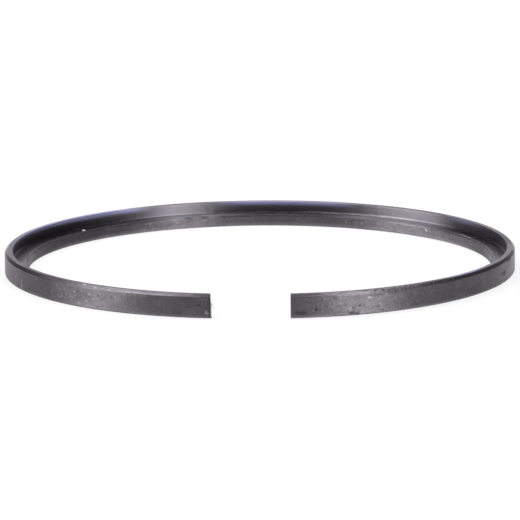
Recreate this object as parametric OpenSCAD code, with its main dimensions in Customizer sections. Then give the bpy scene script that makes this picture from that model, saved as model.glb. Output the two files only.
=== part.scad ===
// Piston ring with an L section, in its free state, lying on its lower side.
// Sizes in millimetres. The axis is +Z and the gap faces -Y.
// The origin is under the middle of the ring, on the plane that it lies on.

/* [Bore and section] */
// Cylinder bore the ring seals: its outer diameter when closed
bore_d = 83; // [76:1:96]
// Height along the axis, from side to side
ring_h = 4; // [3.6:0.1:5]
// Radial thickness from the running face to the inner wall
radial_t = 4; // [3.6:0.1:5]

/* [Step] */
// Radial thickness of the upright leg behind the running face
leg_t = 1.4; // [1.2:0.1:2]
// Height of the lower flange, which fills the groove
flange_h = 2; // [1.4:0.1:2.4]
// Radius in the corner between leg and flange
root_r = 0.3; // [0.1:0.05:0.5]

/* [Gap] */
// Gap between the ends when the ring is free
free_gap = 13.2; // [9:0.2:17]
// Gap left between the ends when the ring is closed in its bore
closed_gap = 0.3; // [0.15:0.05:0.6]

/* [Edge breaks] */
// Break on the running face's upper edge
top_break = 0.4; // [0.2:0.05:0.6]
// Break on the running face's lower edge
low_break = 0.2; // [0.1:0.05:0.4]
// Break on the inner edge of the leg's top
leg_break = 0.15; // [0.1:0.05:0.3]
// Break on the inner edge of the flange's top
flange_break = 0.2; // [0.1:0.05:0.4]
// Break on the inner wall's lower edge
bore_break = 0.15; // [0.1:0.05:0.4]

/* [Hidden] */
$fn = 240;
root_facets = 24;
closed_r = bore_d / 2;
// How far the cut for the gap reaches past the ring
clear = 1;

// A sprung ring is flattest at its back and as round as its bore at the gap.
// This is how much larger its radius is half way round, as a share of the bore's radius.
spring = (free_gap - closed_gap) / (3 * PI * closed_r);

// Outward directions where the arcs of one half meet, from the back round to the gap.
// They lie on 3-4-5 and 7-24-25 triangles, so the arcs' centres are round numbers.
joints = [[0, 1], [0.6, 0.8], [0.96, 0.28], [0.96, -0.28], [0.6, -0.8], [0, -1]];
last = len(joints) - 2;

// The same directions in degrees from +X
function bearing(i) = round(1e4 * atan2(joints[i][1], joints[i][0])) / 1e4;
function sweep(i) = bearing(i) - bearing(i + 1);
// Mean radius of the running face on an arc, to a thousandth of a millimetre
function face_r(i) = round(1000 * closed_r
    * (1 + spring * (1 + (joints[i + 1][0] - joints[i][0]) / (sweep(i) * PI / 180)))) / 1000;
// Centre of an arc, on the line that joins it smoothly to the arc before
function centre(i) = i == 0 ? [0, 0] : centre(i - 1) + (face_r(i - 1) - face_r(i)) * joints[i];

// Reach of the ring behind, and in front at the outer corners of its ends
back_y = face_r(0);
front_y = centre(last)[1] - sqrt(face_r(last) ^ 2 - (free_gap / 2 - centre(last)[0]) ^ 2);

// The L section, with the running face on x = 0
module section() {
    difference() {
        union() {
            polygon([
                [-low_break, 0],
                [0, low_break],
                [0, ring_h - top_break],
                [-top_break, ring_h],
                [leg_break - leg_t, ring_h],
                [-leg_t, ring_h - leg_break],
                [-leg_t, flange_h],
                [flange_break - radial_t, flange_h],
                [-radial_t, flange_h - flange_break],
                [-radial_t, bore_break],
                [bore_break - radial_t, 0]
            ]);
            translate([-leg_t - root_r, flange_h - root_r]) square([2 * root_r, 2 * root_r]);
        }
        translate([-leg_t - root_r, flange_h + root_r]) circle(root_r, $fn = root_facets);
    }
}

// One arc of the ring, swept from a bearing
module arc(i, from, angle) {
    translate(centre(i))
        rotate_extrude(start = from, angle = angle)
            translate([face_r(i), 0]) section();
}

// The arcs of one half, from the end of the back arc to past the gap's face
module half() {
    for (i = [1 : last]) arc(i, bearing(i + 1), sweep(i));
}

module piston_ring() {
    color("#5b575b")
        translate([0, -(back_y + front_y) / 2, 0])
            difference() {
                union() {
                    arc(0, bearing(1), 2 * sweep(0));
                    half();
                    mirror([1, 0, 0]) half();
                }
                translate([-free_gap / 2, front_y - clear, -clear])
                    cube([free_gap, 2 * (radial_t + clear), ring_h + 2 * clear]);
            }
}

piston_ring();
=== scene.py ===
# %% [markdown]
# # A piston ring
# A piston ring is an open hoop of cast iron. It springs outwards in its groove and seals the piston in
# its bore. This one lies free on a table, so its gap stands open. Its section is an L: a flange that sits
# in the groove, and an upright leg behind the running face. The imported solid comes in first and stays
# untouched. It gives the frame.

# %% Load the frame
import math
from collections import namedtuple

import bpy
import numpy as np
from mathutils import Matrix, Vector, noise


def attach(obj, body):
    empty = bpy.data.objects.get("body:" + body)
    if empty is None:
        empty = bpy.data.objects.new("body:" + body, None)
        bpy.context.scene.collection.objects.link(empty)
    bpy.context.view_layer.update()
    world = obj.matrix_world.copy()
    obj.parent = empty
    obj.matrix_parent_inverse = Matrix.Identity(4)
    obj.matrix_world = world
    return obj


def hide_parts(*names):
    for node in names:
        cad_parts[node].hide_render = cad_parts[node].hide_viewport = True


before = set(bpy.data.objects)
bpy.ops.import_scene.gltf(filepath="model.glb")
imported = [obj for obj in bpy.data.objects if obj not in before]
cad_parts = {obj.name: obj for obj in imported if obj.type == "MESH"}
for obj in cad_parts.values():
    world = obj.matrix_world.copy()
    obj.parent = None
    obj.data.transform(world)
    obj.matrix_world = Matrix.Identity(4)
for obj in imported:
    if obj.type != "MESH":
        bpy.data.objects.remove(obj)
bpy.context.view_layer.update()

# %% [markdown]
# ## Sizes
# Drawings of small iron parts are in millimetres, and Blender works in metres. So every size below is
# written in millimetres, and one factor turns finished points into metres. The sizes are the solid's.

# %% Main sizes
MM = 0.001
bore_radius = 41.5
free_gap = 13.2
closed_gap = 0.3
ring_height = 4.0
ring_depth = 4.0
leg_depth = 1.4
flange_height = 2.0
print(f"ring for a {2 * bore_radius:.0f} mm bore, {ring_depth} mm deep and {ring_height} mm high")

# %% [markdown]
# ## The free line
# A ring is made so that it presses evenly on the bore when it is closed. Let go, it opens, and its back
# flattens most while the stretch beside the gap stays as round as the bore. That law has a short closed
# form, which a circle can't follow. Bearings run from the middle of the back, positive towards +X, and the
# gap lies at half a turn.

# %% Free line and ends
spring = (free_gap - closed_gap) / (3 * math.pi * bore_radius)
near_the_gap = 0.96 * math.pi
slope_steps = 8


def free_line(bearing):
    """Point of the running face, in millimetres, at a bearing in radians."""
    x = bore_radius * ((1 + spring) * np.sin(bearing) + spring * (bearing / 2 + np.sin(2 * bearing) / 4))
    y = bore_radius * ((1 + spring) * np.cos(bearing) + spring * np.cos(bearing) ** 2 / 2)
    return x, y


def end_bearing(depth):
    """Bearing where a line this deep behind the running face meets the gap's flat face, found in steps."""
    bearing = np.full(np.shape(depth), near_the_gap)
    for _ in range(slope_steps):
        miss = free_line(bearing)[0] - depth * np.sin(bearing) - free_gap / 2
        slope = (bore_radius * (1 + spring + spring * np.cos(bearing)) - depth) * np.cos(bearing)
        bearing = bearing - miss / slope
    return bearing


back_reach = free_line(0.0)[1]
front_reach = free_line(end_bearing(0.0))[1]
middle = (back_reach + front_reach) / 2

# %% [markdown]
# ## The L section
# The section is turned on a lathe, and its sharp corners are then broken so that no burr can score the
# bore. It could be a Blender curve with a bevel object, but that gives no say in how each corner is broken.
# So it is a short list of corners, each with a small rounding, and a function that walks round them. The
# running face has the most points, because that face is the one with pits and rubs in view.

# %% Section of the ring
Corner = namedtuple("Corner", "depth height rounding bends run")
top_break = 0.4
low_break = 0.2
leg_break = 0.15
flange_break = 0.2
bore_break = 0.15
root_radius = 0.3


def corners_of(top, low):
    """The section's corners from the foot of the running face upwards. Bends and run count the pieces."""
    return [
        Corner(0, low, 0.08, 2, 22),
        Corner(0, ring_height - top, 0.04, 2, 4),
        Corner(top, ring_height, 0.10, 2, 4),
        Corner(leg_depth - leg_break, ring_height, 0.08, 2, 2),
        Corner(leg_depth, ring_height - leg_break, 0.08, 2, 7),
        Corner(leg_depth, flange_height, root_radius, 5, 8),
        Corner(ring_depth - flange_break, flange_height, 0.30, 3, 1),
        Corner(ring_depth, flange_height - flange_break, 0.30, 3, 7),
        Corner(ring_depth, bore_break, 0.06, 2, 2),
        Corner(ring_depth - bore_break, 0, 0.06, 2, 5),
        Corner(low, 0, 0.08, 2, 2),
    ]


def section(top=top_break, low=low_break):
    """Points of the section, as depth behind the running face and height above the table."""
    corners = corners_of(top, low)
    places = [np.array([c.depth, c.height], float) for c in corners]
    rounds = []
    for k, corner in enumerate(corners):
        into = places[k] - places[k - 1]
        out_of = places[(k + 1) % len(places)] - places[k]
        into = into / np.linalg.norm(into)
        out_of = out_of / np.linalg.norm(out_of)
        turn = math.acos(float(np.clip(into @ out_of, -1, 1)))
        reach = corner.rounding * math.tan(turn / 2)
        start = places[k] - reach * into
        stop = places[k] + reach * out_of
        steps = np.linspace(0, 1, corner.bends + 1)[:, None]
        rounds.append((1 - steps) ** 2 * start + 2 * steps * (1 - steps) * places[k] + steps ** 2 * stop)
    points = []
    for k, corner in enumerate(corners):
        following = rounds[(k + 1) % len(rounds)][0]
        run = np.linspace(0, 1, corner.run + 1)[1:-1, None]
        points.append(rounds[k])
        points.append(rounds[k][-1] + run * (following - rounds[k][-1]))
    return np.concatenate(points)


plain_section = section()
print(f"section of {len(plain_section)} points")

# %% [markdown]
# ## Once round the ring
# The section now goes round the free line, a quarter of a millimetre at a time. A Curve object would do
# this too, but the gap is sawn straight across, so each line of the sweep has to stop on a flat face.
# Giving each depth its own last bearing does that. The breaks at the top and foot wander a little in width,
# as hand-dressed edges do, and wear has left the upper one about a fifth wider than in the solid. The saw
# has left a small burr at the foot of the left end.

# %% Rows of the sweep
row_count = 991
end_break = 0.07
break_wander = 0.16
top_wear = 1.2
wander_length = 7.0
fine_wander = 2.7
fine_share = 0.5
fine_seed = 5.0
top_seed = 1.0
low_seed = 2.0
burr_length = 0.25
burr_width = 0.60

turns = np.linspace(-1, 1, row_count)
inset = end_break / (math.pi * bore_radius)
turns[0] += inset
turns[-1] -= inset
turns = np.concatenate([[-1], turns, [1]])


def wander(turn, seed):
    """A slow wobble along the ring with a finer one over it, from about -1 to 1."""
    along = turn * math.pi * bore_radius / wander_length
    slow = noise.noise(Vector((along, seed, 0.0)))
    fine = noise.noise(Vector((fine_wander * along, seed, fine_seed)))
    return slow + fine_share * fine


sections = []
for turn in turns:
    top = top_break * (top_wear + break_wander * wander(turn, top_seed))
    low = low_break * (1 + break_wander * wander(turn, low_seed))
    sections.append(section(top, low))
rows = np.array(sections)
along_section = np.roll(plain_section, -1, axis=0) - np.roll(plain_section, 1, axis=0)
along_section = along_section / np.linalg.norm(along_section, axis=1)[:, None]
outwards = np.stack([-along_section[:, 1], along_section[:, 0]], axis=1)
rows[0] -= end_break * outwards
rows[-1] -= end_break * outwards
bearings = turns[:, None] * end_bearing(rows[:, :, 0])
from_foot = np.hypot(rows[0, :, 0], rows[0, :, 1])
bearings[0] -= burr_length / bore_radius * np.exp(-(from_foot / burr_width) ** 2)
last_bearing = math.degrees(bearings[-1, 0])
print(f"{rows.shape[0]} rows of {rows.shape[1]} points, the last at {last_bearing:.2f} degrees")

# %% [markdown]
# ## Skin
# Phosphated iron isn't mirror flat. The etch leaves crystals, and under them the cast metal waves by a few
# thousandths of a millimetre, which is enough to break up a reflection. Smooth noise at the points' own
# places gives that in the mesh itself. The lower side stays flat, because the ring lies on it.

# %% Waves in the skin
wave_height = 0.006
wave_length = 1.3
ripple_height = 0.006
ripple_length = 0.7

line_x, line_y = free_line(bearings)
place_x = line_x - rows[:, :, 0] * np.sin(bearings)
place_y = line_y - middle - rows[:, :, 0] * np.cos(bearings)
places = np.stack([place_x, place_y, rows[:, :, 1]], axis=2).reshape(-1, 3)


def skin_noise(length):
    """Smooth noise of about this wavelength at every point of the sweep."""
    values = [noise.noise(Vector(p / length)) for p in places]
    return np.array(values).reshape(bearings.shape)


ripple = skin_noise(ripple_length)
lift = wave_height * skin_noise(wave_length) + ripple_height * ripple
print(f"skin lifts between {lift.min():.4f} and {lift.max():.4f} mm")

# %% [markdown]
# ## Pits, chips, smudges and painted light
# This ring has been handled and stored. It has a few pits in the running face, chips on the upper break,
# pale scuffs and oily smudges. Long pale marks are painted highlights, and broad dark ones are painted shade.
# Each mark is a soft-edged spot. It has a bearing in degrees, and in
# millimetres its depth and height on the section, its size along and across the ring, and its dent. A pit
# is pressed into the mesh, so that it catches the light. The larger marks are listed one by one.

# %% Marks listed one by one
Mark = namedtuple("Mark", "kind bearing depth height along across dent force", defaults=[1.0])
marks = [
    Mark("pit", 157.5, 0, 1.50, 0.40, 0.24, 0.03, 0.8),
    Mark("pit", 156.6, 0, 1.68, 0.22, 0.18, 0.02, 0.6),
    Mark("pit", 153.2, 0, 1.15, 0.34, 0.24, 0.03, 0.7),
    Mark("pit", 152.6, 0, 1.40, 0.26, 0.18, 0.02, 0.5),
    Mark("pit", 159.4, 0, 1.25, 0.60, 0.20, 0.02, 0.6),
    Mark("pit", 168.0, 0, 1.40, 0.45, 0.22, 0.02),
    Mark("pit", 159.6, 0, 0.45, 0.75, 0.20, 0.02),
    Mark("pit", 158.2, 0, 0.30, 0.50, 0.18, 0.02),
    Mark("pit", 152.0, 0, 0.50, 0.60, 0.18, 0.02),
    Mark("pit", 107.8, 0, 1.80, 1.30, 0.45, 0.04),
    Mark("pit", 104.3, 0, 3.50, 1.10, 0.28, 0.03),
    Mark("pit", 101.8, 0, 3.40, 1.20, 0.30, 0.03),
    Mark("pit", 153.3, 0.30, 3.95, 0.40, 0.24, 0.08, 0.7),
    Mark("pit", 152.5, 0.30, 3.95, 0.34, 0.22, 0.06, 0.6),
    Mark("pit", 151.3, 0.25, 3.88, 0.40, 0.24, 0.08, 0.7),
    Mark("pit", 155.8, 0.35, 3.98, 0.60, 0.18, 0.05),
    Mark("pit", 148.4, 0, 3.40, 0.45, 0.20, 0.02, 0.5),
    Mark("pit", -146.2, 0.5, 4.0, 0.35, 0.22, 0.02, 0.5),
    Mark("pit", -141.8, 0, 2.40, 0.30, 0.22, 0.02, 0.55),
    Mark("pit", -142.3, 0, 2.05, 0.34, 0.24, 0.03, 0.55),
    Mark("pit", -139.4, 0, 1.60, 0.30, 0.20, 0.02, 0.55),
    Mark("pit", -139.4, 0, 2.50, 0.40, 0.18, 0.02, 0.55),
    Mark("pit", -145.8, 0, 2.30, 0.36, 0.24, 0.03, 0.55),
    Mark("pit", -147.0, 0, 1.95, 0.32, 0.20, 0.02, 0.55),
    Mark("pit", -149.8, 0, 2.55, 0.30, 0.18, 0.02, 0.55),
    Mark("pit", -154.0, 0, 3.20, 0.34, 0.18, 0.02, 0.55),
    # Scuffs: the small dented ones are pale scuffs and chips. The long ones without a dent, on the land, the
    # flange's edge and the flange wall, lighten whole stretches and are painted highlights.
    Mark("scuff", 155.0, 0, 2.80, 0.50, 0.16, 0.01, 0.35),
    Mark("scuff", -116.0, 0, 1.75, 0.26, 0.45, 0.01, 0.7),
    Mark("scuff", -115.6, 0, 0.85, 0.26, 0.55, 0.01, 0.7),
    Mark("scuff", 58, ring_depth, 1.0, 9.0, 1.6, 0.0, 0.20),
    Mark("scuff", -15.5, ring_depth, 1.0, 3.5, 1.3, 0.0, 0.06),
    Mark("scuff", -7, ring_depth, 1.0, 4.0, 1.4, 0.0, 0.06),
    Mark("scuff", 124, 0.90, 4.00, 9.0, 0.70, 0.0, 0.15),
    Mark("scuff", -125.5, 0.20, 3.80, 6.0, 0.35, 0.0, 0.38),
    Mark("scuff", 139, 0.20, 3.80, 8.0, 0.35, 0.0, 0.16),
    Mark("scuff", 159.5, 0.12, 3.68, 5.0, 0.22, 0.0, 0.25),
    Mark("scuff", -76, 3.92, 1.90, 24.0, 0.22, 0.0, 0.26),
    Mark("scuff", -158.5, 0.10, 3.62, 6.0, 0.16, 0.0, 0.40),
    Mark("scuff", -156, 0, 3.35, 3.5, 0.40, 0.0, 0.12),
    Mark("scuff", 74, 3.92, 1.90, 20.0, 0.25, 0.0, 0.45),
    Mark("scuff", 103, 0.90, 4.00, 14.0, 0.70, 0.0, 0.36),
    Mark("scuff", -104, 0.90, 4.00, 10.0, 0.70, 0.0, 0.22),
    Mark("scuff", 62, 0.90, 4.00, 11.0, 0.70, 0.0, 0.32),
    Mark("scuff", 60.2, 3.30, 2.00, 1.3, 0.45, 0.0, 0.45),
    Mark("scuff", 62.5, 3.50, 2.00, 0.9, 0.35, 0.0, 0.35),
    Mark("scuff", -141.2, 0.30, 3.92, 0.30, 0.20, 0.01, 0.4),
    Mark("scuff", -144.7, 0.15, 3.70, 0.45, 0.16, 0.01, 0.3),
    Mark("scuff", -147.0, 0.20, 3.75, 0.25, 0.16, 0.01, 0.2),
    Mark("scuff", -148.8, 0.10, 3.62, 0.30, 0.14, 0.01, 0.4),
    Mark("scuff", -173.0, 0, 0.95, 0.24, 0.40, -0.01),
    Mark("scuff", -172.4, 0, 3.22, 0.50, 0.12, 0.01, 0.4),
    # Smudges: the small ones are oily smudges. The broad ones darken whole stretches of the step, its root,
    # the flange wall, the land near the gap and the running face, and are painted shade.
    Mark("soil", -171.2, 0, 2.22, 0.40, 0.16, 0.0),
    Mark("soil", -34, ring_depth, 1.0, 9.0, 1.6, 0.0, 0.60),
    Mark("soil", -71, ring_depth, 1.25, 12.0, 1.2, 0.0, 1.0),
    Mark("soil", -53, ring_depth, 1.25, 8.0, 1.2, 0.0, 0.75),
    Mark("soil", -88, ring_depth, 1.25, 6.0, 1.2, 0.0, 0.60),
    Mark("soil", 72, ring_depth, 1.25, 8.0, 1.2, 0.0, 0.55),
    Mark("soil", -52, 1.6, 2.1, 9.0, 0.40, 0.0, 0.70),
    Mark("soil", -148, 0.20, 3.80, 9.0, 0.40, 0.0, 0.18),
    Mark("soil", -70, leg_depth, 2.7, 20.0, 1.25, 0.0, 1.25),
    Mark("soil", -17, 2.6, 2.0, 5.0, 1.2, 0.0, 0.40),
    Mark("soil", -10, 2.4, 2.05, 5.5, 1.3, 0.0, 0.65),
    Mark("soil", 28, 2.6, 2.0, 6.0, 1.1, 0.0, 0.35),
    Mark("soil", -20.5, ring_depth, 1.6, 3.0, 0.60, 0.0, 0.35),
    Mark("soil", -9, 3.75, 1.95, 4.5, 0.50, 0.0, 0.90),
    Mark("soil", 8, 1.6, 2.15, 9.0, 0.35, 0.0, 0.60),
    Mark("soil", -71, 3.3, 2.0, 13.0, 0.50, 0.0, 0.30),
    Mark("soil", -162, 0.45, 3.98, 6.5, 0.15, 0.0, 0.35),
    Mark("soil", 27, 3.75, 1.95, 6.5, 0.50, 0.0, 0.55),
    Mark("soil", -82, 2.1, 2.0, 12.0, 1.3, 0.0, 0.45),
    Mark("soil", 80, 1.9, 2.1, 14.0, 1.1, 0.0, 0.45),
    Mark("soil", -133, 0, 2.0, 9.0, 2.8, 0.0, 0.55),
    Mark("soil", -112, 0, 2.0, 14.0, 2.8, 0.0, 0.35),
    Mark("soil", 113, 0, 2.0, 12.0, 2.8, 0.0, 0.15),
    Mark("soil", 119, 0.05, 3.50, 17.0, 0.42, 0.0, 0.30),
    Mark("soil", 149.2, 0.1, 3.50, 2.8, 0.60, 0.0, 0.60),
    Mark("soil", 152.6, 0, 3.25, 2.6, 0.42, 0.0, 0.55),
    Mark("soil", -173, 0.7, 3.95, 3.4, 1.0, 0.0, 0.9),
    Mark("soil", 172.5, 0.7, 3.95, 5.5, 1.0, 0.0, 0.9),
    Mark("soil", -24, ring_depth, 1.0, 4.5, 1.4, 0.0, 0.18),
    Mark("soil", 171.4, 0, 0.85, 1.30, 0.36, 0.0, 0.8),
    Mark("soil", -173.55, 0, 2.00, 0.30, 2.60, 0.0, 0.6),
    Mark("soil", -20.6, 3.9, 1.92, 1.00, 0.50, 0.0),
    Mark("soil", -18.0, 3.4, 2.00, 0.70, 0.50, 0.0),
    Mark("soil", -16.3, 3.9, 1.95, 1.20, 0.40, 0.0),
]
print(len(marks), "marks placed by hand")

# %% [markdown]
# ## Specks
# Between the large marks, the coating has pinholes, thickest in a few blotchy stretches. The pale specks
# strewn there are painted glints, and the stretches are where the running face and the flange wall show the
# lamps.
# They could be a texture, but then no speck would have a dent of its own. So they are strewn by a seeded
# draw, the same on every run, and join the list.

# %% Specks
Blotch = namedtuple("Blotch", "bearing reach depth low high specks")
blotches = [
    Blotch(-143, 20, 0, 0.4, 3.4, 70),
    Blotch(156, 14, 0, 0.4, 3.4, 60),
    Blotch(103, 10, 0, 0.6, 3.4, 12),
    Blotch(-21, 12, ring_depth, 0.4, 1.7, 46),
    Blotch(36, 16, ring_depth, 0.4, 1.7, 46),
]
speck_seed = 85
# A share of the specks are pale: painted glints.
glint_share = 0.4
speck_sizes = (0.14, 0.26)
speck_stretch = 1.3
speck_dent = 0.004
speck_forces = (0.5, 1.0)
glint_force = 0.20
pit_force = 0.32
draw = np.random.default_rng(speck_seed)
for blotch in blotches:
    for _ in range(blotch.specks):
        kind = "scuff" if draw.random() < glint_share else "pit"
        bearing = blotch.bearing + blotch.reach * draw.uniform(-1, 1)
        height = draw.uniform(blotch.low, blotch.high)
        size = draw.uniform(*speck_sizes)
        force = draw.uniform(*speck_forces) * (glint_force if kind == "scuff" else pit_force)
        marks.append(Mark(kind, bearing, blotch.depth, height, speck_stretch * size, size, speck_dent, force))
print(len(marks), "marks with the specks")

# %% [markdown]
# ## Strength of the marks
# A rub or a pit fades out at its rim, so each mark is full in its middle and falls off towards its edge. A
# ripple in the distance makes small marks ragged, and leaves the outlines of long marks smooth. The
# strength of each kind is kept at the points, where the material can read it. Painting it by hand on the
# mesh would do as well, but numbers are easier to move when a mark sits in the wrong place.

# %% Strength of the marks
ragged = 0.65
plateau = 1.6
kinds = {name: np.zeros(bearings.shape) for name in ("pit", "scuff", "soil")}
for mark in marks:
    along = (np.degrees(bearings) - mark.bearing) * math.radians(1) * bore_radius / mark.along
    across = np.hypot(rows[:, :, 0] - mark.depth, rows[:, :, 1] - mark.height) / mark.across
    distance = np.hypot(along, across) * (1 + ragged / (1 + mark.along) * ripple)
    strength = mark.force * np.clip(plateau * (1 - distance ** 2), 0, 1)
    kinds[mark.kind] = np.maximum(kinds[mark.kind], strength)
    lift -= mark.dent * strength
print(f"the deepest mark is {-lift.min():.3f} mm deep")

# %% [markdown]
# ## Edges
# The coating wears through first on edges that touch other things, so the edges of the running face are
# paler. Both lower edges of the ring, its feet, are painted paler: a painted reflection of the floor. The
# upper break is ground and shines most. The flange's inner edge is painted dark, a painted shade, and a pale
# line in the root of the step is a painted highlight. Each of these
# is a plain distance in the section, so it can be worked out once for all rows.

# %% Edges, foot and root
edge_width = 0.07
break_margin = 0.05
foot_width = 0.25
inner_foot_width = 0.38
inner_foot_strength = 1.9
flange_edge_width = 0.28
flange_edge_fade = 0.2
root_width = 0.13
root_rise = 0.18

depths = plain_section[:, 0]
heights = plain_section[:, 1]
edge = np.zeros(len(plain_section))
# The feet get a painted reflection of the floor, strongest on the inner foot.
foot = np.zeros(len(plain_section))
for corner in corners_of(top_break, low_break):
    distance = np.hypot(depths - corner.depth, heights - corner.height)
    if corner.height < flange_height / 2:
        outer = corner.depth < leg_depth
        width, strength = (foot_width, 1.0) if outer else (inner_foot_width, inner_foot_strength)
        foot = np.maximum(foot, strength * np.exp(-(distance / width) ** 2))
    elif corner.depth < leg_depth / 2:
        edge = np.maximum(edge, np.exp(-(distance / edge_width) ** 2))
# A pale line in the root of the step: a painted highlight.
from_root = np.hypot(depths - leg_depth, heights - flange_height - root_rise)
root = np.exp(-(from_root / root_width) ** 2)
# The flange's inner edge gets painted shade, dark where a lamp would shine in it.
above_edge = np.clip((heights - flange_height + flange_edge_width) / flange_edge_fade, 0, 1)
flange_edge = above_edge * (depths > ring_depth - flange_edge_width)
off_break = np.abs(heights - depths - (ring_height - top_break)) / math.sqrt(2)
upper_break = np.clip(1 - (off_break - break_margin) / break_margin, 0, 1)
print(f"strength of the pale edges up to {edge.max():.2f}, and of the pale feet up to {foot.max():.2f}")

# %% [markdown]
# ## Step shade and painted sheen
# The step, on its wall and its ledge, is painted darker: painted shade in the recess. The upper inner
# edge has a painted violet-blue sheen, a painted reflection of bluish light. It fades down the wall,
# so its strength is a curve of the height.

# %% Step, land and painted sheen
sheen_depth = 0.90
sheen_fall = 1.3
sheen_strength = 1.5
sheen_break_loss = 0.6

# Masks of the step's wall and ledge, which get painted shade for the recess.
in_step = (heights > flange_height - flange_break) * (depths > leg_depth - leg_break / 2)
step_wall = in_step * np.clip((heights - flange_height) / root_radius, 0, 1)
ledge = in_step - step_wall
on_land = (heights > ring_height - leg_break / 2) * (depths > top_break) * (depths < leg_depth)
# The painted violet sheen, a painted reflection of bluish light, fades down from the upper inner edge.
from_top = np.clip((heights - ring_height + sheen_depth) / sheen_depth, 0, 1)
on_leg_break = (heights > ring_height - leg_break) * (depths > leg_depth - leg_break)
bloom = np.clip(sheen_strength * from_top ** sheen_fall, 0, 1) * (depths > leg_depth - leg_break)
bloom = bloom * (1 - sheen_break_loss * on_leg_break)
print(f"bloom on {(bloom > 0).sum()} of {len(bloom)} points of the section")

# %% [markdown]
# ## Stretches of the ring
# No finish is the same all round. Two stretches of the step are painted brighter, a painted highlight, and
# there the painted sheen is left out. The painted shade on the flange's edge, the painted highlight in the
# root and the painted floor reflection on the feet come and go too. So each has a list of
# stretches, with a middle, a reach and a fade in degrees, and is multiplied by how far a point lies in them.

# %% Stretches of the ring
Stretch = namedtuple("Stretch", "bearing reach fade")
# Painted highlights on two stretches of the step, where the lamps show in it.
step_highlight_stretches = [Stretch(-18.5, 5, 8), Stretch(34, 9, 11)]
# Stretches of the painted highlight in the root.
root_highlight_stretches = [Stretch(23, 12, 5), Stretch(-92, 12, 5), Stretch(92, 12, 5)]
# Stretch of the painted shade on the flange's edge.
shaded_flange_stretches = [Stretch(0, 34, 20)]
# Stretches where the painted reflection on the feet is left out.
foot_gaps = [Stretch(-141, 11, 7), Stretch(154.5, 7, 6)]
# Stretches of the painted violet sheen on the land and on the wall.
land_sheens = [Stretch(-42, 18, 40), Stretch(125, 4, 6)]
wall_sheens = [Stretch(-11, 61, 16)]
sheen_gaps = [Stretch(-21.3, 7.7, 8), Stretch(36, 13, 8)]
flange_edge_loss = 0.6
foot_loss = 0.75
sheen_on_land = 0.75

by_section = {"edge": edge, "upper_break": upper_break, "foot": foot,
              "step_wall": step_wall, "ledge": ledge}
finish = {name: np.tile(values, (len(rows), 1)) for name, values in by_section.items()}


def within(stretches):
    """How far each point lies within some stretches of the ring, from 0 to 1."""
    cover = np.zeros(bearings.shape)
    for stretch in stretches:
        past = (np.abs(np.degrees(bearings) - stretch.bearing) - stretch.reach) / stretch.fade
        cover = np.maximum(cover, np.clip(1 - past, 0, 1))
    return cover


rubbed = within(step_highlight_stretches)
finish["rubbed"] = rubbed * in_step
finish["root"] = root * within(root_highlight_stretches)
finish["flange_edge"] = flange_edge * within(shaded_flange_stretches) * (1 - flange_edge_loss * rubbed)
both_sheens = np.maximum(bloom * within(wall_sheens), sheen_on_land * on_land * within(land_sheens))
finish["bloom"] = both_sheens * (1 - within(sheen_gaps))
finish["foot"] *= 1 - foot_loss * np.maximum(rubbed, within(foot_gaps))
finish.update(kinds)
print("finishes kept at the points:", ", ".join(sorted(finish)))

# %% [markdown]
# ## The mesh
# The real ring is one piece of iron, and here it is one closed mesh. Four neighbours in the grid make each
# face, and one many-sided face closes each end. A Screw modifier could sweep the section too, but only
# along a true circle. The finishes go along as attributes, one number for each point.

# %% Build the ring
sharp_angle = 40
shifted = rows + lift[:, :, None] * outwards
shifted[:, :, 1] = np.clip(shifted[:, :, 1], 0, ring_height)
point_x = line_x - shifted[:, :, 0] * np.sin(bearings)
point_y = line_y - middle - shifted[:, :, 0] * np.cos(bearings)
points = np.stack([point_x, point_y, shifted[:, :, 1]], axis=2).reshape(-1, 3) * MM

row_total, point_total = bearings.shape
row, point = np.meshgrid(np.arange(row_total - 1), np.arange(point_total), indexing="ij")
corner_rows = np.stack([row, row, row + 1, row + 1], axis=2).reshape(-1, 4)
corner_points = np.stack([point, point + 1, point + 1, point], axis=2).reshape(-1, 4)
faces = (corner_rows * point_total + corner_points % point_total).tolist()
left_end = list(reversed(range(point_total)))
right_end = list(range(point_total))
faces.append(left_end)
faces.append([(row_total - 1) * point_total + p for p in right_end])

ring_mesh = bpy.data.meshes.new("ring")
ring_mesh.from_pydata(points.tolist(), [], faces)
for name, values in finish.items():
    attribute = ring_mesh.attributes.new(name, "FLOAT", "POINT")
    attribute.data.foreach_set("value", values.astype(np.float32).ravel())
ring_mesh.shade_smooth()
ring_mesh.set_sharp_from_angle(angle=math.radians(sharp_angle))
ring = bpy.data.objects.new("ring", ring_mesh)
bpy.context.scene.collection.objects.link(ring)
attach(ring, "root")
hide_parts("piston_ring")
print(f"ring of {len(points)} points and {len(faces)} faces")

# %% [markdown]
# ## The ring unrolled
# The lathe's lines run along the ring, so patterns need a map that does the same. The unrolled ring is kept
# as a UV map in metres, one way along the ring and the other round its section. A second map folds that long
# strip into four bands that fill a square page. A painted picture of the ring then has the same fine scale
# all round. Blender's own unwrapping could do it, but it doesn't keep to the lathe's direction.

# %% Unroll the ring
band_count = 4
band_rows = (row_total - 1) // band_count
margin = 0.35

lengths = np.linalg.norm(np.roll(plain_section, -1, axis=0) - plain_section, axis=1)
across_strip = np.concatenate([[0], np.cumsum(lengths)])
along_strip = turns * math.pi * bore_radius
ends = np.concatenate([plain_section[left_end], plain_section[right_end]])
strip = np.stack([along_strip[corner_rows], across_strip[corner_points]], axis=2).reshape(-1, 2)
strip = np.concatenate([strip, ends]) * MM

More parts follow.
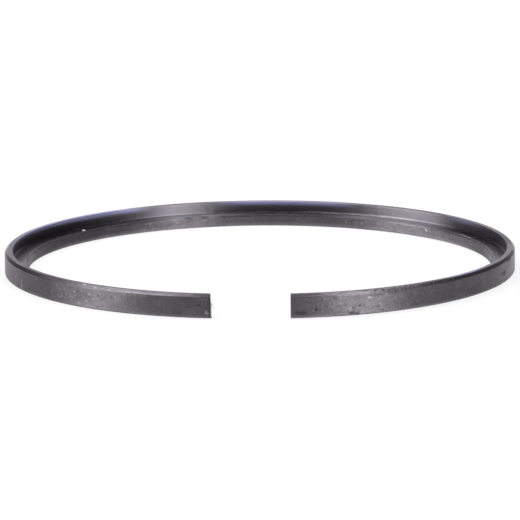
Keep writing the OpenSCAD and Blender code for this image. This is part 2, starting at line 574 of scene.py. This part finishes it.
band = corner_rows[:, :1] // band_rows
band_step = across_strip[-1] + margin
page = along_strip[band_rows] - along_strip[0] + 2 * margin
page_x = along_strip[corner_rows] - along_strip[band * band_rows] + margin
page_y = across_strip[corner_points] + band * band_step + margin
ends_at = np.repeat([[margin, 0], [2 * margin + ring_depth, 0]], point_total, axis=0)
ends_at[:, 1] = band_count * band_step + margin
page_places = np.concatenate([np.stack([page_x, page_y], axis=2).reshape(-1, 2), ends + ends_at])
page = max(page, page_places.max() + margin)
for name, map_points in {"strip": strip, "OFBake": page_places / page}.items():
    ring_mesh.uv_layers.new(name=name).uv.foreach_set("vector", map_points.astype(np.float32).ravel())
print(f"strip {2 * along_strip[-1]:.0f} mm long, folded on a page {page:.1f} mm wide")

# %% [markdown]
# ## Colours and nodes
# Colours are given as hex values, and a renderer wants them linear. One function turns the first
# into the second. Another adds a node, sets it up and links it, so that a material reads as a short list.

# %% Helpers for materials
def linear(hex_colour):
    """A colour such as #5b575b as linear red, green, blue and alpha."""
    channels = [int(hex_colour[k:k + 2], 16) / 255 for k in (1, 3, 5)]
    return [c / 12.92 if c <= 0.04045 else ((c + 0.055) / 1.055) ** 2.4 for c in channels] + [1.0]


def add_node(tree, kind, inputs=(), **settings):
    """Adds a node, sets its properties, and fills its sockets from numbers, colours or other sockets."""
    node = tree.nodes.new(kind)
    for name, value in settings.items():
        setattr(node, name, value)
    for name, value in dict(inputs).items():
        if isinstance(value, bpy.types.NodeSocket):
            tree.links.new(value, node.inputs[name])
        else:
            node.inputs[name].default_value = value
    return node


def new_material(name):
    """An empty material and its node tree."""
    material = bpy.data.materials.new(name)
    material.use_nodes = True
    material.node_tree.nodes.clear()
    return material, material.node_tree


print("iron grey in linear light:", [round(c, 3) for c in linear("#5b575b")])

# %% [markdown]
# ## Phosphated cast iron
# The bare turned ring is dipped in hot manganese phosphate, which grows a dark grey skin of fine crystals
# that holds oil. It gives the eye a soft satin with a grain of light and dark specks, and the lathe's lines
# still show through as streaks along the ring. The crystals are a few hundredths of a millimetre, too fine
# to show, so the grain is drawn coarser. Four noises make the patterns: one in the solid for the grain, one
# for a slow mottle, one for a film of old oil, and one stretched along the strip for the streaks.

# %% Patterns of the iron
iron, tree = new_material("phosphated_cast_iron")
grain_size = 0.5
mottle_size = 2.6
film_size = 9.0
streak_long = 5.0
streak_wide = 0.16
noise_detail = 3.0
noise_roughness = 0.62

strip_map = add_node(tree, "ShaderNodeUVMap", uv_map="strip").outputs["UV"]
solid_map = add_node(tree, "ShaderNodeTexCoord").outputs["Object"]
stretched = add_node(tree, "ShaderNodeMapping", {
    "Vector": strip_map, "Scale": (1 / (streak_long * MM), 1 / (streak_wide * MM), 1.0)}).outputs["Vector"]
patterns = {}
for name, where, size in (
        ("grain", solid_map, grain_size * MM), ("mottle", solid_map, mottle_size * MM),
        ("film", solid_map, film_size * MM), ("streaks", stretched, 1.0)):
    patterns[name] = add_node(tree, "ShaderNodeTexNoise", {
        "Vector": where, "Scale": 1 / size, "Detail": noise_detail,
        "Roughness": noise_roughness}).outputs["Fac"]
kept = {name: add_node(tree, "ShaderNodeAttribute", attribute_name=name).outputs["Fac"] for name in finish}
print("patterns: grain", grain_size, "mm, mottle", mottle_size, "mm, streaks", streak_wide, "mm wide")

# %% [markdown]
# ## Coats
# A worn finish is easiest to think of as coats, one over the other, as a painter would lay them. Each coat
# here has a colour, a roughness, a place on the ring and a pattern that breaks it up. Several coats are
# painted light and shade: the step's painted shade, its painted highlights, the painted violet sheen, the
# painted floor reflection on the feet, the painted shade on the flange's edge, the painted highlight in the
# root, and the broad smudges and long pale marks. The pattern's range
# from start to stop becomes an amount from least to most. A loop lays them all, from the plain iron up to
# the marks, and mixes colour and roughness by the same amount. The Mix node has sockets for every type under
# the same names, so they are picked by number.

# %% Coats of the iron
mix_amount = 0
mix_number_a = 2
mix_number_b = 3
mix_colour_a = 6
mix_colour_b = 7
mixed_number = 0
mixed_colour = 2
Coat = namedtuple("Coat", "colour roughness place pattern start stop least most")
coats = [
    Coat("#6a676c", 0.42, None, "mottle", 0.35, 0.65, 0.0, 1.0),
    Coat("#7a777c", 0.40, None, "streaks", 0.45, 0.75, 0.0, 0.5),
    Coat("#675d60", 0.46, None, "film", 0.48, 0.66, 0.0, 0.5),
    Coat("#4f4c51", 0.52, None, "grain", 0.47, 0.34, 0.0, 0.3),
    Coat("#8a878b", 0.40, None, "grain", 0.58, 0.72, 0.0, 0.23),
    # The step's wall and ledge are painted darker: painted shade in the recess.
    Coat("#56545b", 0.46, "step_wall", "mottle", 0.35, 0.65, 0.75, 0.95),
    Coat("#5a585e", 0.24, "ledge", "mottle", 0.35, 0.65, 0.75, 0.95),
    # Painted highlight on two stretches of the step.
    Coat("#77747a", 0.42, "rubbed", "mottle", 0.35, 0.65, 0.8, 1.0),
    # Painted violet sheen, a painted reflection of bluish light on the upper inner edge and the land.
    Coat("#b6b4e0", 0.45, "bloom", "mottle", 0.30, 0.70, 1.0, 0.9),
    Coat("#656267", 0.25, "upper_break", "mottle", 0.35, 0.65, 0.6, 1.0),
    Coat("#8b888b", 0.36, "edge", "mottle", 0.40, 0.65, 0.0, 0.25),
    # Painted reflection of the floor on the feet.
    Coat("#a4a1a6", 0.75, "foot", "grain", 0.35, 0.6, 0.4, 0.6),
    # Painted shade on the flange's inner edge.
    Coat("#333135", 0.70, "flange_edge", "mottle", 0.35, 0.65, 0.78, 0.58),
    # Dark smudges, and painted shade where they are broad.
    Coat("#353238", 0.50, "soil", "grain", 0.30, 0.6, 0.72, 0.57),
    # Painted highlight: a pale line in the root of the step.
    Coat("#b4b1b5", 0.60, "root", "streaks", 0.40, 0.6, 0.35, 0.9),
    Coat("#2b292c", 0.60, "pit", "grain", 0.65, 0.35, 0.35, 0.9),
    # Pale scuffs, and painted highlights where they are long or strewn as pale specks.
    Coat("#c4c0c5", 0.45, "scuff", "grain", 0.35, 0.6, 0.3, 0.9),
]
colour = linear("#626064")
roughness = 0.48
for coat in coats:
    amount = add_node(tree, "ShaderNodeMapRange", {
        "Value": patterns[coat.pattern], "From Min": coat.start, "From Max": coat.stop,
        "To Min": coat.least, "To Max": coat.most}).outputs["Result"]
    if coat.place:
        amount = add_node(tree, "ShaderNodeMath", {
            0: amount, 1: kept[coat.place]}, operation="MULTIPLY").outputs["Value"]
    colour = add_node(tree, "ShaderNodeMix", {
        mix_amount: amount, mix_colour_a: colour, mix_colour_b: linear(coat.colour)},
        data_type="RGBA").outputs[mixed_colour]
    roughness = add_node(tree, "ShaderNodeMix", {
        mix_amount: amount, mix_number_a: roughness, mix_number_b: coat.roughness}).outputs[mixed_number]
print(len(coats), "coats over the iron")

# %% [markdown]
# ## Shine of the turned face
# A lathe leaves fine lines along the ring, so a lamp seen in the face smears across them, upwards, and
# stays narrow along them. The Principled shader calls that anisotropic. The strip's own direction is the
# tangent, and a quarter turn puts the smear across the lines. Two bumps, from the grain and the streaks,
# roughen it where the mesh is too coarse. Plain metal turns white at grazing angles, and the phosphate keeps
# a hint of violet there, which is the specular tint. The upper side is lapped flat, with few lathe lines
# left in it, so it wears a copy of the iron that smears less.

# %% Skin of the iron
grain_rise = 0.022
streak_rise = 0.004
face_smear = 0.85
land_smear = 0.30
quarter_turn = 0.25
grazing_tint = "#fcf8ff"
bumps = None
for pattern, rise in (("grain", grain_rise), ("streaks", streak_rise)):
    under = {"Normal": bumps} if bumps else {}
    bumps = add_node(tree, "ShaderNodeBump", {
        "Height": patterns[pattern], "Strength": 1.0, "Distance": rise * MM, **under}).outputs["Normal"]
lathe_way = add_node(tree, "ShaderNodeTangent", direction_type="UV_MAP", uv_map="strip").outputs["Tangent"]
iron_skin = add_node(tree, "ShaderNodeBsdfPrincipled", {
    "Base Color": colour, "Metallic": 1.0, "Roughness": roughness, "Anisotropic": face_smear,
    "Anisotropic Rotation": quarter_turn, "Specular Tint": linear(grazing_tint), "Normal": bumps,
    "Tangent": lathe_way})
add_node(tree, "ShaderNodeOutputMaterial", {"Surface": iron_skin.outputs["BSDF"]})
lapped_iron = iron.copy()
lapped_iron.name = "lapped_phosphated_cast_iron"
lapped_iron.node_tree.nodes[iron_skin.name].inputs["Anisotropic"].default_value = land_smear
ring_mesh.materials.append(iron)
ring_mesh.materials.append(lapped_iron)
land_quads = np.tile(on_land & np.roll(on_land, -1), row_total - 1)
wears_lapped = np.concatenate([land_quads, [False, False]])
ring_mesh.polygons.foreach_set("material_index", wears_lapped.astype(np.int32))
print(f"phosphated iron has {len(tree.nodes)} nodes, and {wears_lapped.sum()} faces are lapped")

# %% [markdown]
# ## Lint
# A ring that has lain about picks up lint: a white speck on the ledge, a flake on the inner wall, a pale
# smear on the step's edge, and two hairs caught on one end. Each is tiny, so a squashed and crumpled lens
# or a thin tapered thread is enough. All sit on the iron itself, at a bearing, a depth and a height, and
# lean on the surface there.

# %% Crumbs and hairs
def on_ring(bearing, depth, height):
    """A point of the ring in millimetres, and the ways along the ring and outwards there."""
    turn = math.radians(bearing)
    outward = Vector((math.sin(turn), math.cos(turn), 0.0))
    along = Vector((math.cos(turn), -math.sin(turn), 0.0))
    x, y = free_line(turn)
    return Vector((x, y - middle, height)) - depth * outward, along, outward


def add_lint(name, points, faces):
    """A small mesh of lint that rides on the ring."""
    mesh = bpy.data.meshes.new(name)
    mesh.from_pydata([tuple(p * MM) for p in points], [], faces)
    mesh.shade_smooth()
    piece = bpy.data.objects.new(name, mesh)
    bpy.context.scene.collection.objects.link(piece)
    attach(piece, "root")
    return piece


def crumb(name, centre, long_way, wide_way, size, thickness):
    """A crumpled lens of lint: two rims round a raised middle, lying against the iron."""
    rim_points = 10
    rims = ((0.6, 0.7), (1.0, -0.2))
    crumple = 0.45
    crumple_scale = 3.0
    proud = long_way.cross(wide_way).normalized()
    points = [centre + thickness * proud]
    for reach, rise in rims:
        for k in range(rim_points):
            turn = 2 * math.pi * k / rim_points
            round_rim = (crumple_scale * math.cos(turn), crumple_scale * math.sin(turn), size[0])
            wobble = noise.noise(Vector(round_rim))
            flat = long_way * (size[0] * math.cos(turn)) + wide_way * (size[1] * math.sin(turn))
            points.append(centre + flat * reach * (1 + crumple * wobble) + proud * thickness * rise)
    faces = []
    for k in range(rim_points):
        after = (k + 1) % rim_points
        faces.append((0, 1 + k, 1 + after))
        faces.append((1 + k, 1 + rim_points + k, 1 + rim_points + after, 1 + after))
    faces.append([1 + rim_points + k for k in reversed(range(rim_points))])
    return add_lint(name, points, faces)


def hair(name, path, thickness):
    """A tapered thread through a few points, as a tube of five sides."""
    sides = 5
    taper = 0.6
    points = []
    faces = []
    for k, place in enumerate(path):
        ahead = (path[min(k + 1, len(path) - 1)] - path[max(k - 1, 0)]).normalized()
        across = ahead.orthogonal().normalized()
        radius = thickness / 2 * (1 - taper * k / (len(path) - 1))
        for s in range(sides):
            turn = 2 * math.pi * s / sides
            points.append(place + radius * (across * math.cos(turn) + ahead.cross(across) * math.sin(turn)))
    for k in range(len(path) - 1):
        for s in range(sides):
            after = (s + 1) % sides
            faces.append((k * sides + s, k * sides + after, (k + 1) * sides + after, (k + 1) * sides + s))
    faces.append(list(reversed(range(sides))))
    faces.append([(len(path) - 1) * sides + s for s in range(sides)])
    return add_lint(name, points, faces)


print("one function for crumbs and one for hairs")

# %% [markdown]
# ## Lint in its places
# The speck sits on the ledge and the flake on the inner wall, aslant. The smear is three thin crumbs in a
# row near the step's edge. The hairs start just inside the left end and stick out into the gap. All are
# there because the ring has been lying about, so they are as small and as few as they look.

# %% Lint in its places
speck_place = (-51.9, 3.15, flange_height)
flake_place = (45.4, ring_depth, 1.38)
flake_slope = 1.75
smears = [(59.4, 3.55, 0.5), (61.6, 3.75, 0.35), (63.2, 3.5, 0.45)]
hairs = [
    (0.20, [(-0.05, 0.35, 2.60), (0.22, 0.20, 2.40), (0.46, 0.10, 2.05), (0.62, 0.10, 1.66)]),
    (0.10, [(-0.05, 0.30, 2.80), (0.18, 0.25, 2.98), (0.38, 0.20, 3.05), (0.60, 0.20, 3.02)]),
]

spot, along, outward = on_ring(*speck_place)
lint = [crumb("lint_speck", spot, along, -outward, size=(0.40, 0.30), thickness=0.52)]
spot, along, outward = on_ring(*flake_place)
slant = (flake_slope * along - Vector((0, 0, 1))).normalized()
lint.append(crumb("lint_flake", spot, slant, -outward.cross(slant), size=(0.56, 0.17), thickness=0.10))
for k, (bearing, depth, length) in enumerate(smears, 1):
    spot, along, outward = on_ring(bearing, depth, flange_height)
    lint.append(crumb(f"lint_smear_{k}", spot, along, -outward, size=(length, 0.13), thickness=0.05))
end_x = -free_gap / 2
end_y = front_reach - middle
for k, (thickness, offsets) in enumerate(hairs, 1):
    path = [Vector((end_x + x, end_y + y, z)) for x, y, z in offsets]
    lint.append(hair(f"lint_hair_{k}", path, thickness))
print("lint:", [piece.name for piece in lint])

# %% [markdown]
# ## Cotton lint
# Cotton fibre is white and matt, greyed by oil. A fine noise gives it a felted look at a tenth of a
# millimetre.

# %% Finish of the lint
cotton, tree = new_material("oily_cotton_lint")
felt_size = 0.1
felt = add_node(tree, "ShaderNodeTexNoise", {
    "Vector": add_node(tree, "ShaderNodeTexCoord").outputs["Object"], "Scale": 1 / (felt_size * MM),
    "Detail": 2.0}).outputs["Fac"]
felt_colour = add_node(tree, "ShaderNodeMix", {
    mix_amount: felt, mix_colour_a: linear("#8d8b88"), mix_colour_b: linear("#dcdad6")},
    data_type="RGBA").outputs[mixed_colour]
lint_skin = add_node(tree, "ShaderNodeBsdfPrincipled", {"Base Color": felt_colour, "Roughness": 0.95})
add_node(tree, "ShaderNodeOutputMaterial", {"Surface": lint_skin.outputs["BSDF"]})
for piece in lint:
    piece.data.materials.append(cotton)
print("lint finish has", len(tree.nodes), "nodes")

# %% [markdown]
# ## Table
# A pale sheet under the ring is all the scene needs, wide enough to fill the picture from every side. Seen
# directly or in the iron, part of its brightness is plain white, which keeps the background even and the
# ring's shadow soft.

# %% Paper floor
floor_half = 3.0
floor_cells = 24
floor_points = []
floor_faces = []
for r in range(floor_cells + 1):
    for c in range(floor_cells + 1):
        x = floor_half * (2 * c / floor_cells - 1)
        y = floor_half * (2 * r / floor_cells - 1)
        floor_points.append((x, y, 0.0))
for r in range(floor_cells):
    for c in range(floor_cells):
        corner = r * (floor_cells + 1) + c
        floor_faces.append((corner, corner + 1, corner + floor_cells + 2, corner + floor_cells + 1))
floor_mesh = bpy.data.meshes.new("floor")
floor_mesh.from_pydata(floor_points, [], floor_faces)
floor = bpy.data.objects.new("floor", floor_mesh)
bpy.context.scene.collection.objects.link(floor)
print(f"floor {2 * floor_half:.0f} m wide")

# %% [markdown]
# ## Paper
# Matt white paper scatters light evenly, so a diffuse shader is enough. The Light Path node tells how a ray
# reached it. Rays from the camera, from gloss and through glass see a share of plain white, and all other
# rays see the paper as it is.

# %% Finish of the paper
paper, tree = new_material("matt_white_paper")
white_share = 0.75
paper_skin = add_node(tree, "ShaderNodeBsdfDiffuse", {"Color": linear("#e6e6e6")})
paper_white = add_node(tree, "ShaderNodeEmission", {"Color": linear("#ffffff"), "Strength": 1.0})
ray = add_node(tree, "ShaderNodeLightPath").outputs
seen = ray["Is Camera Ray"]
for other in ("Is Glossy Ray", "Is Transmission Ray"):
    seen = add_node(tree, "ShaderNodeMath", {0: seen, 1: ray[other]}, operation="MAXIMUM").outputs["Value"]
share = add_node(tree, "ShaderNodeMath", {0: seen, 1: white_share}, operation="MULTIPLY").outputs["Value"]
paper_mix = add_node(tree, "ShaderNodeMixShader", {
    0: share, 1: paper_skin.outputs["BSDF"], 2: paper_white.outputs["Emission"]})
add_node(tree, "ShaderNodeOutputMaterial", {"Surface": paper_mix.outputs["Shader"]})
floor_mesh.materials.append(paper)
print("paper has", len(tree.nodes), "nodes")

# %% [markdown]
# ## Light
# Two soft boxes stand to the left of the ring and to its front right, each seen once in the running face and
# once in the far wall. A wide one hangs overhead and shows in the upper break, and a weak one behind lights
# the upper side. Between them the room is dim, so the iron has dark stretches as well as bright ones. Point
# lamps would give the iron hard white dots instead.

# %% Soft boxes
camera_azimuth = 2.212
room_grey = "#808080"
room_strength = 0.7
world = bpy.data.worlds.new("room")
world.use_nodes = True
bpy.context.scene.world = world
world.node_tree.nodes["Background"].inputs["Color"].default_value = linear(room_grey)
world.node_tree.nodes["Background"].inputs["Strength"].default_value = room_strength


def direction(azimuth, elevation):
    """Unit vector towards a place in the room. Azimuth 0 is the camera's side, positive to its right."""
    turn = math.radians(azimuth + camera_azimuth)
    rise = math.radians(elevation)
    return Vector((math.sin(turn) * math.cos(rise), -math.cos(turn) * math.cos(rise), math.sin(rise)))


SoftBox = namedtuple("SoftBox", "name azimuth elevation distance sideways width height brightness")
soft_boxes = [
    SoftBox("left_soft_box", -79.5, 17, 1.6, 0.0, 1.05, 0.95, 5.5),
    SoftBox("right_soft_box", 43.5, 17, 1.6, 0.0, 0.82, 0.95, 7.0),
    SoftBox("overhead_soft_box", 180, 76.3, 1.6, -0.30, 2.3, 1.30, 3.8),
    SoftBox("back_soft_box", 180, 24, 1.8, 0.0, 1.3, 1.5, 0.56),
]
for box in soft_boxes:
    lamp = bpy.data.lights.new(box.name, "AREA")
    lamp.shape = "RECTANGLE"
    lamp.size = box.width
    lamp.size_y = box.height
    lamp.energy = box.brightness * math.pi * box.width * box.height
    holder = bpy.data.objects.new(box.name, lamp)
    bpy.context.scene.collection.objects.link(holder)
    towards = direction(box.azimuth, box.elevation)
    holder.location = towards * box.distance + direction(90, 0) * box.sideways
    holder.rotation_mode = "QUATERNION"
    holder.rotation_quaternion = towards.to_track_quat("Z", "Y")
print("lamps:", [box.name for box in soft_boxes])

# %% [markdown]
# ## Camera
# A long lens from about a metre away, a little above the table, makes the hoop read as a flat oval. The
# camera leans by half a degree, so the ring's right side sits slightly higher in the picture.

# %% Camera
camera_elevation = 11.155
camera_distance = 897.9
camera_lean = 0.508
aim_height = 1.953
aim_drop = 0.566
picture_width = 520
focal_pixels = 5201.4

eye = bpy.data.cameras.new("camera")
eye.lens = focal_pixels / picture_width * eye.sensor_width
eye.clip_start = 0.05
eye.clip_end = 50.0
camera = bpy.data.objects.new("camera", eye)
bpy.context.scene.collection.objects.link(camera)
away = direction(0, camera_elevation)
place = Vector((0, 0, aim_height * MM)) + away * camera_distance * MM
sideways = Vector((0, 0, 1)).cross(away).normalized()
lean = math.radians(camera_lean)
upright = away.cross(sideways) * math.cos(lean) + sideways * math.sin(lean)
aim = Vector((0, 0, aim_height * MM)) - upright * aim_drop * MM
backwards = (place - aim).normalized()
rightwards = upright.cross(backwards).normalized()
upwards = backwards.cross(rightwards)
turned = Matrix((rightwards, upwards, backwards)).transposed().to_4x4()
camera.matrix_world = Matrix.Translation(place) @ turned
bpy.context.scene.camera = camera
bpy.context.scene.view_settings.view_transform = "Standard"
print(f"camera {camera_distance:.0f} mm away with a {eye.lens:.0f} mm lens")
